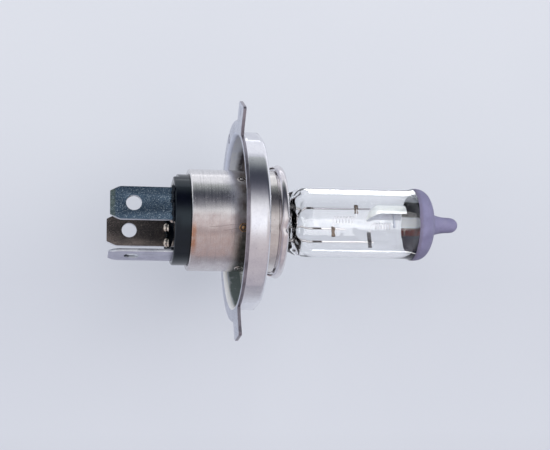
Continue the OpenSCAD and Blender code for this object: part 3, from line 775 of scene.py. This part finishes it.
def far_place(a, b, c):
    return at(a, FAR_MID + b, -BLADE_SIDE - c)


def cross_place(a, b, c):
    return at(a, BLADE_TOP + c, b)


def build_insulator():
    r, back, axis_r = INSULATOR_R, -INSULATOR_BACK, 0.001
    out = [(q, back) for q in (axis_r, 3.0, 6.0, 9.0)] + arc(r - 0.45, back + 0.45, 0.45, -90, 0, 6)
    out += [(r, -14.0), (r, -12.6), (r, -11.55), (11.3, -11.4), (11.3, -9.6), (10.9, -9.2), (axis_r, -9.2)]
    o = lathe("plug_insulator", out, PLASTIC, "insulator_plastic", ["insulator"], sharp=40, closed=False)
    clean(o.data, 4e-6)
    cuts = [cutter_block((-17, -7.2, -6.6), (-15.0, 6.4, 6.6), at), cutter_block((-17, -12, -12), (-14.6, -8.7, 12), at)]
    half, thick = BLADE_W / 2 + 0.06, BLADE_T / 2 + 0.06
    for place in (near_place, far_place, cross_place):
        cuts.append(cutter_block((-17, -half, -thick), (-9.0, half, thick), place))
    cut_with(o, cuts)


def blade_outline():
    tip, h = BLADE_TIP, BLADE_W / 2
    pts = [(tip, -h + 1.1, 0.25), (tip + 2.3, -h, 0.5), (-9.2, -h, 0), (-9.2, -2, 0), (-7.6, -2, 0.3), (-7.6, 2, 0.3),
           (-9.2, 2, 0), (-9.2, h, 0), (tip + 2.3, h, 0.5), (tip, h - 1.1, 0.25)]
    return [(p.x, p.y) for p in rounded(pts, 0.3, 4)]


def coin(a, b, c):
    """Thins the blade's tip and its chamfers on both faces."""
    t = 1 - smoothstep(BLADE_TIP, BLADE_TIP + 1.35, a)
    return a, b, c * (1 - 0.55 * t)


def build_blades():
    outline, hole = blade_outline(), arc(BLADE_HOLE_X, 0, BLADE_HOLE_R, 0, 360, 64)[:-1]
    cuts = [BLADE_TIP + q for q in (0.3, 0.6, 0.9, 1.15, 1.35)]
    for name, node, place, mat in (("blade_near", "terminal_high_beam", near_place, BLADE_NEAR),
                                   ("blade_far", "terminal_common", far_place, BLADE_FAR),
                                   ("blade_cross", "terminal_low_beam", cross_place, BLADE_CROSS)):
        v, f, edges = plate(outline, [hole], BLADE_T, 0.07, place, coin, cuts)
        make(name, v, f, [mat, BLADE_EDGE], "terminal_metal", [node], 25, edges)
    parts = []
    for place in (near_place, far_place):
        for b in (-0.6, 3.2):
            parts.append(blob(place(-INSULATOR_BACK - 0.45, b, -0.9), 0.92, 17 * b + 3, (0.9, 1.25, 0.9)))
            parts.append(blob(place(-INSULATOR_BACK + 0.2, b + 0.15, -1.1), 0.86, 17 * b + 8, (0.85, 1.15, 0.9)))
    make("stake_beads", *join_parts(parts), STAKE, "stake_metal", ["terminal_stakes"], 80)


def build_sealant():
    """Ragged black sealant squeezed out round the roots of the blades."""
    parts = []
    for place, edge in ((near_place, 0.5), (far_place, -0.55), (far_place, 0.5), (cross_place, -0.5)):
        for k in range(17):
            b = -4.1 + k * 0.51
            wild = noise.noise(Vector((b * 3.1, edge * 7, place(0, 0, 0).z)))
            root = place(-INSULATOR_BACK - 0.28 - 0.5 * wild, b, edge)
            parts.append(blob(root, 0.42 + 0.2 * wild, b * 5, rough=0.35, rows=8, cols=12))
    make("blade_sealant", *join_parts(parts), PLASTIC, "insulator_plastic", ["insulator"], 80)


def blob(middle, r, seed, squash=(1, 1, 1), rough=0.12, rows=14, cols=20):
    """A small lumpy bead."""
    verts = []
    for i in range(rows + 1):
        p = math.pi * i / rows
        for k in range(cols):
            t = math.tau * k / cols
            d = Vector((math.sin(p) * math.cos(t), math.sin(p) * math.sin(t), math.cos(p)))
            q = r * (1 + rough * noise.noise(d * 2.2 + Vector((seed, 0, 0))))
            verts.append((middle + d * Vector(squash) * q) * MM)
    return verts, net(rows + 1, cols)


# ---- glass and paint
DOME = [(8.45, 41.0), (8.52, 42.2), (8.7, 43.35), (8.8, 44.2), (8.76, 44.9), (8.6, 45.6), (8.3, 46.25), (7.8, 46.9),
        (7.1, 47.4), (6.2, 47.85), (5.2, 48.15), (4.2, 48.4), (3.4, 48.65), (2.8, 49.0), (2.45, 49.5), (2.2, 50.1),
        (2.0, 50.9), (1.86, 51.8), (1.78, 52.8), (1.76, 53.5), (1.62, 54.3), (1.25, 54.95), (0.7, 55.4), (0.0, 55.55)]


def dome_curve():
    """The closed end's outline, smoothed, from the tube to the tip."""
    return [(max(p.x, 0.0), p.y) for p in smooth_path([(r, x, 0) for r, x in DOME], 4)]


def section(x, t, half_u, half_w, power):
    """A point of a superellipse section: t is the angle from u towards w."""
    c, s = math.cos(t), math.sin(t)
    q = (abs(c / half_u) ** power + abs(s / half_w) ** power) ** (-1 / power)
    return at(x, q * c, q * s)


def build_glass():
    """The tube with its pinch seal and tip, and the sealed hollow inside it."""
    n, outer, inner = 160, [], []

    def row(points, way, point):
        """Adds a row round the axis, the hollow's the other way round."""
        points += [point(way * math.tau * k / n) * MM for k in range(n)]

    def round_row(points, way, r, x):
        row(points, way, lambda t: at(x, r * math.cos(t), r * math.sin(t)))

    stations = [-3.5, -3.4, 0.0, 4.0, 8.0, 9.0, 9.6] + [10.0 + 0.3 * k for k in range(21)]
    for x in stations + [16.5, 17.0, 18.0, 20.0, 24.0, 28.0, 32.0, 36.0, 39.0]:
        half_u = PINCH_U + (TUBE_R - PINCH_U) * smoothstep(11.6, 16.2, x)
        half_w = PINCH_W + (TUBE_R - PINCH_W) * smoothstep(12.2, 17.0, x)
        power = 7 - 5 * smoothstep(11.5, 15.5, x)
        ripple = smoothstep(10.0, 11.2, x) * (1 - smoothstep(15.8, 17.6, x))

        def shoulder(t):
            p = section(x, t, half_u, half_w, power)
            wave = noise.noise(Vector((x * 0.7, p.y * 0.10, p.z * 0.14)))
            wave += 0.35 * noise.noise(Vector((x * 1.3, p.y * 0.3, p.z * 0.3 + 9)))
            return p + Vector((0, p.y, p.z)).normalized() * ripple * (0.17 * wave - 0.06)

        row(outer, 1, shoulder)
    for r, x in dome_curve()[1:-1]:
        round_row(outer, 1, max(r, 0.02), x)
    start = 13.9
    hollow = [start + q for q in (0.0, 0.05, 0.15, 0.3, 0.5, 0.75, 1.0, 1.3, 1.6, 1.9, 2.2, 2.6, 3.0, 3.4, 3.8, 4.2, 5.0)]
    for x in hollow + [20.0, 24.0, 28.0, 32.0, 36.0, 40.0, 42.5, 43.4]:
        near = 1 - smoothstep(start, start + 3.6, x)
        t_u, t_w = min((x - start) / 2.6, 1.0), min((x - start) / 3.8, 1.0)
        half_u = TUBE_IN * (0.62 + 0.38 * math.sqrt(1 - (1 - t_u) ** 2))
        half_w = TUBE_IN * max(0.012, (1 - (1 - t_w) ** 2) ** 0.62)

        def hollow_end(t):
            p = section(x, t, half_u, half_w, 2)
            dent = near * noise.noise(Vector((x * 0.6, p.y * 0.45, p.z * 0.45)))
            squeeze = 1 - 0.04 * abs(dent)
            return Vector((x + 0.5 * dent, p.y * squeeze, p.z * squeeze))

        row(inner, -1, hollow_end)
    for r, x in [(7.3, 44.0), (7.15, 44.6), (6.85, 45.2), (6.35, 45.75), (5.6, 46.25), (4.6, 46.65), (3.5, 46.95),
                 (2.4, 47.2), (1.5, 47.55), (1.0, 48.1), (0.7, 48.8), (0.4, 49.3), (0.05, 49.5)]:
        round_row(inner, -1, r, x)
    v, f = join_parts([(skin, net(len(skin) // n, n, caps=True)) for skin in (outer, inner)])
    o = make("quartz_envelope", v, f, GLASS, "quartz_glass", ["glass_envelope"], 60)
    # the hollow's faces look inwards, so that light leaves the glass there
    bm = bmesh.new()
    bm.from_mesh(o.data)
    cavity = [g for g in bm.faces if min(q.index for q in g.verts) >= len(outer)]
    if max(cavity, key=lambda g: g.calc_center_median().z).normal.z > 0:
        bmesh.ops.reverse_faces(bm, faces=cavity)
        bm.to_mesh(o.data)
    bm.free()


def build_cap():
    """The paint: a thin coat over the dome, with a slightly ragged edge."""
    curve = [p for p in dome_curve() if p[1] > 43.0]
    edge, thick, sink, body = 43.35, 0.13, 0.02, []
    for i, p in enumerate(curve):
        d = (Vector(curve[min(i + 1, len(curve) - 1)]) - Vector(curve[max(i - 1, 0)])).normalized()
        if p[1] > edge:
            body.append((Vector(p), Vector((d.y, -d.x))))
    loop = [p + q * thick for p, q in body] + [p - q * sink for p, q in reversed(body)]

    def ragged(r, x, t):
        c, s = math.cos(t), math.sin(t)
        shift = 0.16 * noise.noise(Vector((c * 2.2, s * 2.2, 4))) + 0.08 * noise.noise(Vector((c * 9, s * 9, 7)))
        return max(r, 0.01), x + (1 - smoothstep(edge, edge + 1.2, x)) * shift

    lathe("glare_cap_paint", loop, [PAINT, PAINT_BACK], "cap_paint", ["glare_cap"], 192, ragged, 70,
          tones=[0] * len(body) + [1] * len(body))


# ---- inside the glass
def build_wires():
    for name, u, x1, bend in (("support_common", U_COMMON, 33.3, 0.10), ("support_high_beam", U_HIGH, 26.6, -0.05),
                              ("support_low_beam", U_LOW, 33.7, 0.06)):
        path = []
        for k in range(25):
            t = k / 24
            path.append(at(7.4 + (x1 - 7.4) * t, u + bend * math.sin(t * 5), bend * math.cos(t * 4)))
        tube(name, path, lambda t: WIRE_R * (1.55 - 0.65 * smoothstep(0.18, 0.5, t)), SUPPORT, "support_metal",
             ["support_wire_" + name[8:]], 20)


def strip_clamp(name, node, x, length, u, before, past, lean=0.0, mat=CLAMP):
    """A strip folded round a support wire, its ends pinched together past the wire."""
    wire = at(x, u, 0)
    r, t = WIRE_R + 0.03, 0.2
    flat = [(-before, 0.10), (-before + 0.25, 0.16), (-r * 1.1, 0.2), (-r * 0.75, r * 0.8), (0, r + t / 2),
            (r * 0.75, r * 0.8), (r * 1.2, 0.24), (past * 0.55, 0.17), (past * 0.9, 0.2), (past, 0.13)]
    top, low = ([wire + U * p + W * (q * s) for p, q in flat] for s in (1, -1))
    curve, verts = smooth_path(top, 4) + smooth_path(low, 4)[::-1], []
    for i, p in enumerate(curve):
        tan = (curve[(i + 1) % len(curve)] - curve[i - 1]).normalized()
        nor = AXIS.cross(tan).normalized()
        along = (p - wire).dot(U) / past
        slim = 1 - 0.22 * smoothstep(0.1, 0.4, along) * (1 - smoothstep(0.6, 0.8, along))
        for s, q in ((-1, -1), (1, -1), (1, 1), (-1, 1)):
            verts.append((p + AXIS * (length / 2 + s * length / 2 * slim + lean * along) + nor * q * t / 2) * MM)
    soften(make(name, verts, net(len(curve), 4, True), mat, "clamp_metal", [node], 40), 0.04)


def soften(o, width):
    """Bevels a piece's edges, with the width in millimetres."""
    b = o.modifiers.new("soft_edges", "BEVEL")
    b.width, b.segments, b.limit_method = width * MM, 2, "ANGLE"


def build_coil(name, node, x, length, y, tail, nose):
    """A helix whose two ends run on through the given points to the clamps."""
    turns, steps, r_coil, r_wire, helix = 6, 28, 0.78, 0.11, []
    for k in range(turns * steps + 1):
        a = math.tau * k / steps
        helix.append(Vector((x + length * k / (turns * steps), y + r_coil * math.cos(a), r_coil * math.sin(a))))
    head = smooth_path([*tail, helix[0]], 6)[:-1]
    end = smooth_path([helix[-1], *nose], 6)[1:]
    tube(name, head + helix + end, r_wire, TUNGSTEN, "filament_tungsten", [node], 10)


def build_shield():
    """A boat-shaped cup beside the low-beam coil, and the strap that carries it."""
    x0, x1, r_in, t, rim_u, nose, cols = 32.4, 42.0, 2.6, 0.28, -1.9, 2.7, 48
    xs = [x0 + nose * (1 - math.cos(math.pi / 2 * k / 14)) for k in range(15)]
    xs += [x0 + nose + (x1 - x0 - nose) * k / 18 for k in range(1, 19)]

    def grid(r, shrink):
        rows = []
        for x in xs:
            q = min((x - x0) / nose, 1.0)
            s = r * max(math.sqrt(1 - (1 - q) ** 2) * (1 - shrink * (1 - q)), 0.03)
            dip, flare = 0.9 * (1 - smoothstep(x0, x0 + 3.2, x)), 1 + 0.0024 * smoothstep(x1 - 1.5, x1, x)
            turns = [math.pi * k / cols for k in range(cols + 1)]
            rows.append([at(x, rim_u - s * math.sin(a) + dip, s * math.cos(a) * flare) for a in turns])
        return rows

    out, inn = grid(r_in + t, 0.0), grid(r_in, 0.12)
    inn[0] = [p + AXIS * t for p in inn[0]]
    verts = [p * MM for row in out + inn for p in row]
    faces, tones, n, m = [], [], len(xs), cols + 1
    off = n * m
    for i in range(n - 1):
        a, b = i * m, (i + 1) * m
        for k in range(cols):
            faces.append((a + k, a + k + 1, b + k + 1, b + k))
            faces.append((off + a + k, off + b + k, off + b + k + 1, off + a + k + 1))
        faces += [(a + k, b + k, off + b + k, off + a + k) for k in (0, cols)]
        tones += [0, 1] * cols + [0, 0]
    end = (n - 1) * m
    for k in range(cols):
        faces.append((end + k, off + end + k, off + end + k + 1, end + k + 1))
        faces.append((k, off + k, off + k + 1, k + 1))
    tones += [0] * (len(faces) - len(tones))
    soften(make("glare_shield", verts, faces, [SHIELD, SHIELD_INSIDE], "shield_metal", ["glare_shield"], 50, tones), 0.06)
    strap = rounded([(-4.55, -0.5, 0.1), (0.9, -0.45, 0.2), (0.9, 0.45, 0.2), (-4.55, 0.5, 0.1)], 0.1, 3)
    v, f, _ = plate(strap, [], 0.36, 0.05, lambda a, b, c: at(39.4 + c, a, b))
    make("low_beam_front_strap", v, f, STRAP, "clamp_metal", ["low_beam_front_strap"], 30)


build_flange()
build_barrel()
build_collar()
build_insulator()
build_blades()
build_sealant()
build_glass()
build_cap()
build_wires()
strip_clamp("high_beam_rear_clamp", "high_beam_rear_clamp", 23.4, 0.85, U_HIGH, 0.45, 1.95)
strip_clamp("high_beam_front_clamp", "high_beam_front_clamp", 29.45, 0.85, U_COMMON, 1.0, 1.1)
strip_clamp("low_beam_rear_clamp", "low_beam_rear_clamp", 32.45, 0.85, U_LOW, 2.4, 1.2, 0.05, CLAMP_DARK)
build_coil("high_beam_coil", "filament_high_beam", 24.4, 4.7, 0.9,
           [(23.8, -2.4, 0.5), (23.85, -1.4, 0.5), (23.95, 0.3, 0.3)],
           [(29.6, 1.6, 0.2), (29.9, 3.2, -0.5), (29.9, 3.9, -0.9)])
build_coil("low_beam_coil", "filament_low_beam", 34.3, 4.3, -0.5, [(32.9, -3.6, 1.2), (32.95, -2.6, 0.9), (33.3, -0.9, 0.4)],
           [(39.0, -0.2, 0.1), (39.4, 0.2, 0.0), (39.5, 0.9, -0.1)])
build_shield()

for node, mat in (("pinch_clamp", RETAINER), ("foil_common", FOIL), ("foil_high_beam", FOIL), ("foil_low_beam", FOIL),
                  ("lead_common", LEAD), ("lead_high_beam", LEAD), ("lead_low_beam", LEAD)):
    me = nodes[node].data
    me.materials.clear()
    me.materials.append(mat)


# ---- floor, light and camera
def build_floor():
    bm = bmesh.new()
    bmesh.ops.create_grid(bm, x_segments=8, y_segments=8, size=6.0)
    me = bpy.data.meshes.new("floor")
    bm.to_mesh(me)
    bm.free()
    me.materials.append(floor_material())
    o = add_object("floor", me)
    o.location = (0.01, 0, FLOOR_Z)


def area_light(name, direction, distance, size, power, color=(1.0, 1.0, 1.0), aim=(0.01, 0, 0)):
    data = bpy.data.lights.new(name, "AREA")
    data.shape, data.size, data.size_y = "RECTANGLE", size[0], size[1]
    data.energy, data.color = power, color
    o = add_object(name, data)
    d = Vector(direction).normalized()
    o.location = Vector(aim) + d * distance
    o.rotation_mode = "QUATERNION"
    o.rotation_quaternion = d.to_track_quat("Z", "Y")
    return o


# the dome's colour by its angle from +Z towards +Y, in degrees
DOME_LIGHT = ((-90, (0.50, 0.47, 0.52)), (-60, (0.58, 0.53, 0.56)), (-32, (0.62, 0.56, 0.58)), (-14, (0.66, 0.61, 0.62)),
              (4, (0.80, 0.78, 0.80)), (16, (1.02, 1.01, 1.04)), (26, (0.71, 0.71, 0.74)), (38, (0.21, 0.21, 0.25)),
              (50, (0.075, 0.08, 0.105)), (66, (0.045, 0.05, 0.07)), (76, (0.20, 0.22, 0.24)), (90, (0.54, 0.57, 0.57)))
# lit strips on the floor, seen only as reflections: name, y, width, x, length, power, what they light
FLOOR_CARDS = (("glass_streak_top", 0.057, 0.058, 0.042, 0.05, 0.080, "glass"),
               ("glass_streak_low", -0.145, 0.06, 0.062, 0.05, 0.11, "glass"),
               ("metal_streak", 0.0665, 0.015, 0.02, 0.4, 0.0125, "all"),
               ("metal_glow", 0.237, 0.326, 0.02, 0.5, 0.095, "all"))


def build_light():
    """A smooth studio dome, drawn by the angle across the lamp, and a broad lamp that gives the floor its level."""
    world = bpy.data.worlds.new("studio")
    bpy.context.scene.world = world
    world.use_nodes = True
    w = Nodes(world.node_tree)
    split = w.node("SeparateXYZ")
    w.link(w.node("TexCoord").outputs["Generated"], split.inputs[0])
    x, y, z = split.outputs
    angle = w.times(w.math("ARCTAN2", y, z), 180 / math.pi)
    stops = [(deg / 180 + 0.5, c) for deg, c in DOME_LIGHT]
    dome = w.ramp(w.math("ADD", w.times(angle, 1 / 180), 0.5), stops, "B_SPLINE")
    # a soft lamp just past overhead, and a pale card beyond the plug end
    near = w.math("POWER", w.math("DIVIDE", w.math("ADD", angle, 3.0), 15.0), 2.0)
    side = w.math("POWER", w.math("DIVIDE", w.math("SUBTRACT", x, 0.17), 0.12), 2.0)
    lamp = w.math("EXPONENT", w.times(w.math("ADD", near, side), -1.0))
    plug_side = w.math("SUBTRACT", w.times(x, -3.0), 1.7, clamp=True)
    sky = w.mix(w.math("ADD", lamp, w.times(plug_side, 0.9)), dome, (0.42, 0.46, 0.50), "ADD")
    sky.node.clamp_factor = False
    w.link(sky, w.t.nodes["Background"].inputs["Color"])
    fill = area_light("broad_fill", (0.25, 0.35, 1.0), 1.3, (1.6, 1.4), 22.0, (1.0, 0.99, 0.98))
    fill.visible_glossy = False
    only_glass = bpy.data.collections.new("only_glass")
    only_glass.objects.link(bpy.data.objects["quartz_envelope"])
    for name, y, wide, x, long, power, target in FLOOR_CARDS:
        card = area_light(name, (0, 0, 1), FLOOR_Z + 0.0006, (long, wide), power, aim=(x, y, 0))
        card.rotation_quaternion = (0, 1, 0, 0)  # faces up
        if target == "glass":
            card.light_linking.receiver_collection = only_glass
        card.visible_camera = card.visible_diffuse = card.visible_transmission = False


def build_camera():
    data = bpy.data.cameras.new("photo_view")
    cam = add_object("photo_view", data)
    bpy.context.scene.camera = cam
    data.sensor_width = 36
    data.lens = 80.64
    data.clip_start, data.clip_end = 0.01, 10
    yaw, roll = math.radians(10), math.radians(1.2)
    back = Vector((-math.sin(yaw), 0, math.cos(yaw)))
    right0, up0 = Vector((math.cos(yaw), 0, math.sin(yaw))), Vector((0, 1, 0))
    right = right0 * math.cos(roll) + up0 * math.sin(roll)
    up = up0 * math.cos(roll) - right0 * math.sin(roll)
    aim, distance = Vector((9.52, -0.77, 0)) * MM, 0.300
    place = aim + back * distance
    cam.matrix_world = Matrix(((right.x, up.x, back.x, place.x), (right.y, up.y, back.y, place.y),
                               (right.z, up.z, back.z, place.z), (0, 0, 0, 1)))


build_floor()
build_light()
build_camera()
bpy.context.scene.view_settings.view_transform = "Standard"
